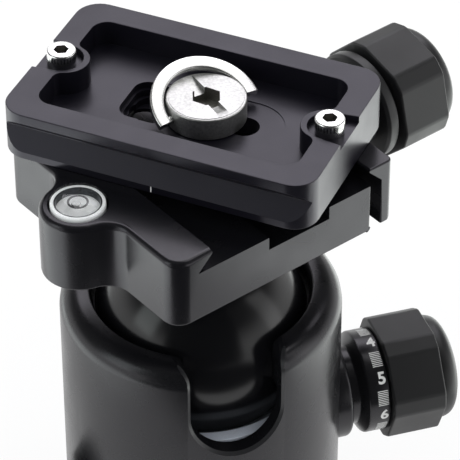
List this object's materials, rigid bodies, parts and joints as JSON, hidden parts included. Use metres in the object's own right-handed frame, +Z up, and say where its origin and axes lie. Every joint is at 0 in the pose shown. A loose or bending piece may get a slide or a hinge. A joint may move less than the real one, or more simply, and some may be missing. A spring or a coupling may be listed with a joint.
{
  "type": "tripod ball head",
  "caption": "Compact tripod ball head with drop notch, locking knob with friction dial, panning base, screw clamp with round level, and an upturned quick-release plate with D-ring screw.",
  "frame": {"origin": "centre of the base's underside, at the mouth of the tripod socket", "axes": "+Z up along the panning axis, +X along the main locking knob, -Y towards the drop notch, whose middle is turned 1.5 degrees from it"},
  "size_m": [0.0957, 0.0673, 0.1103],
  "materials": {
    "black_anodised": "satin black anodised",
    "knob_black": "fine matt moulding",
    "grip_black": "soft matt",
    "pad_rubber": "matt",
    "ball_black": "fine polished, black anodised",
    "bright_steel": "bright nickel plated",
    "dark_steel": "dark oxide",
    "brass": "turned",
    "liner": "pale low-friction polymer",
    "seat_black": "black low-friction polymer",
    "level_white": "white moulding",
    "level_clear": "clear"
  },
  "bodies": {
    "base": {"base_plate": "black_anodised", "tripod_bush": "bright_steel", "spindle_screws": "dark_steel", "pan_spindle": "dark_steel", "glide_ring": "liner"},
    "housing": {"housing": "black_anodised", "housing_circlip": "dark_steel", "pan_bearing": "brass", "pan_thrust_washer": "liner", "floor_disc": "black_anodised", "cup_spring": "dark_steel", "counter_wedge": "dark_steel", "seat_ring": "seat_black", "lock_bush": "brass"},
    "pan_lock": {"pan_screw": "dark_steel", "pan_knob_core": "knob_black", "pan_knob_grip": "grip_black"},
    "pan_brake": {"pan_shoe": "brass"},
    "main_lock": {"lock_screw": "dark_steel", "lock_knob_core": "knob_black", "lock_knob_grip": "grip_black"},
    "plunger": {"lock_plunger": "dark_steel"},
    "cup": {"pressure_cup": "black_anodised", "cup_liner": "liner"},
    "dial": {"drag_dial": "black_anodised"},
    "ball": {"ball": "ball_black"},
    "neck": {"neck": "black_anodised"},
    "clamp": {"clamp_body": "black_anodised", "clamp_bolt": "bright_steel", "level_base": "level_white", "level_dome": "level_clear", "jaw_springs": "dark_steel"},
    "jaw": {"sliding_jaw": "black_anodised", "guide_pins": "dark_steel"},
    "clamp_knob": {"clamp_screw": "dark_steel", "screw_clip": "dark_steel", "clamp_knob_core": "knob_black", "clamp_knob_grip": "grip_black"},
    "plate": {"camera_plate": "black_anodised", "plate_pads": "pad_rubber", "stop_screws": "bright_steel"},
    "retainer": {"screw_retainer": "dark_steel"},
    "camera_screw": {"camera_screw": "bright_steel"},
    "ring": {"d_ring": "bright_steel"}
  },
  "joints": [
    {"name": "pan", "type": "hinge", "parent": "base", "child": "housing", "pos_m": [0, 0, 0.0099], "axis": [0, 0, 1], "continuous": true},
    {"name": "pan_lock_turn", "type": "hinge", "parent": "housing", "child": "pan_lock", "pos_m": [-0.032, 0, 0.01739], "axis": [1, 0, 0], "range_deg": [-180, 40]},
    {"name": "pan_brake_slide", "type": "slide", "parent": "housing", "child": "pan_brake", "axis": [1, 0, 0], "range_m": [-0.000499, 0.00011]},
    {"name": "main_lock_turn", "type": "hinge", "parent": "housing", "child": "main_lock", "pos_m": [0.041, 0, 0.0325], "axis": [-1, 0, 0], "range_deg": [-90, 18]},
    {"name": "plunger_slide", "type": "slide", "parent": "housing", "child": "plunger", "axis": [-1, 0, 0], "range_m": [-0.00031, 0.00006]},
    {"name": "cup_lift", "type": "slide", "parent": "housing", "child": "cup", "axis": [0, 0, 1], "range_m": [-0.00032, 0.000066], "deforming": ["cup_spring"]},
    {"name": "dial_turn", "type": "hinge", "parent": "housing", "child": "dial", "pos_m": [0.032, 0, 0.0325], "axis": [-1, 0, 0], "range_deg": [-160, 160]},
    {"name": "ball_roll", "type": "hinge", "parent": "housing", "child": "ball", "pos_m": [0, 0, 0.0555], "axis": [0.0262, 0.9997, 0], "range_deg": [-27, 27]},
    {"name": "ball_pitch", "type": "hinge", "parent": "ball", "child": "neck", "pos_m": [0, 0, 0.0555], "axis": [0.9997, -0.0262, 0], "range_deg": [-27, 90]},
    {"name": "ball_spin", "type": "hinge", "parent": "neck", "child": "clamp", "pos_m": [0, 0, 0.0555], "axis": [0, 0, 1], "continuous": true},
    {"name": "jaw_slide", "type": "slide", "parent": "clamp", "child": "jaw", "axis": [-0.9285, -0.3714, 0], "range_m": [-0.00399, 0.00199]},
    {"name": "clamp_turn", "type": "hinge", "parent": "jaw", "child": "clamp_knob", "pos_m": [0.04178, 0.01671, 0.0895], "axis": [-0.9285, -0.3714, 0], "range_deg": [-1440, 720]},
    {"name": "plate_lift", "type": "slide", "parent": "clamp", "child": "plate", "axis": [0, 0, 1], "range_m": [0, 0.04]},
    {"name": "screw_slide", "type": "slide", "parent": "plate", "child": "retainer", "axis": [0.7615, -0.6481, 0], "range_m": [-0.006, 0.0046]},
    {"name": "camera_screw_turn", "type": "hinge", "parent": "retainer", "child": "camera_screw", "pos_m": [0.0019, 0.00178, 0.10532], "axis": [0, 0, -1], "continuous": true},
    {"name": "ring_flip", "type": "hinge", "parent": "camera_screw", "child": "ring", "pos_m": [0.0019, 0.00178, 0.10534], "axis": [0.9632, 0.2689, 0], "range_deg": [-22, 75]}
  ],
  "couplings": [
    {"joint": "pan_lock_turn", "follows": "pan_brake_slide", "rad_per_m": 6283.2},
    {"joint": "main_lock_turn", "follows": "plunger_slide", "rad_per_m": 5026.6},
    {"joint": "cup_lift", "follows": "plunger_slide", "ratio": 1},
    {"joint": "clamp_turn", "follows": "jaw_slide", "rad_per_m": 6283.2}
  ]
}
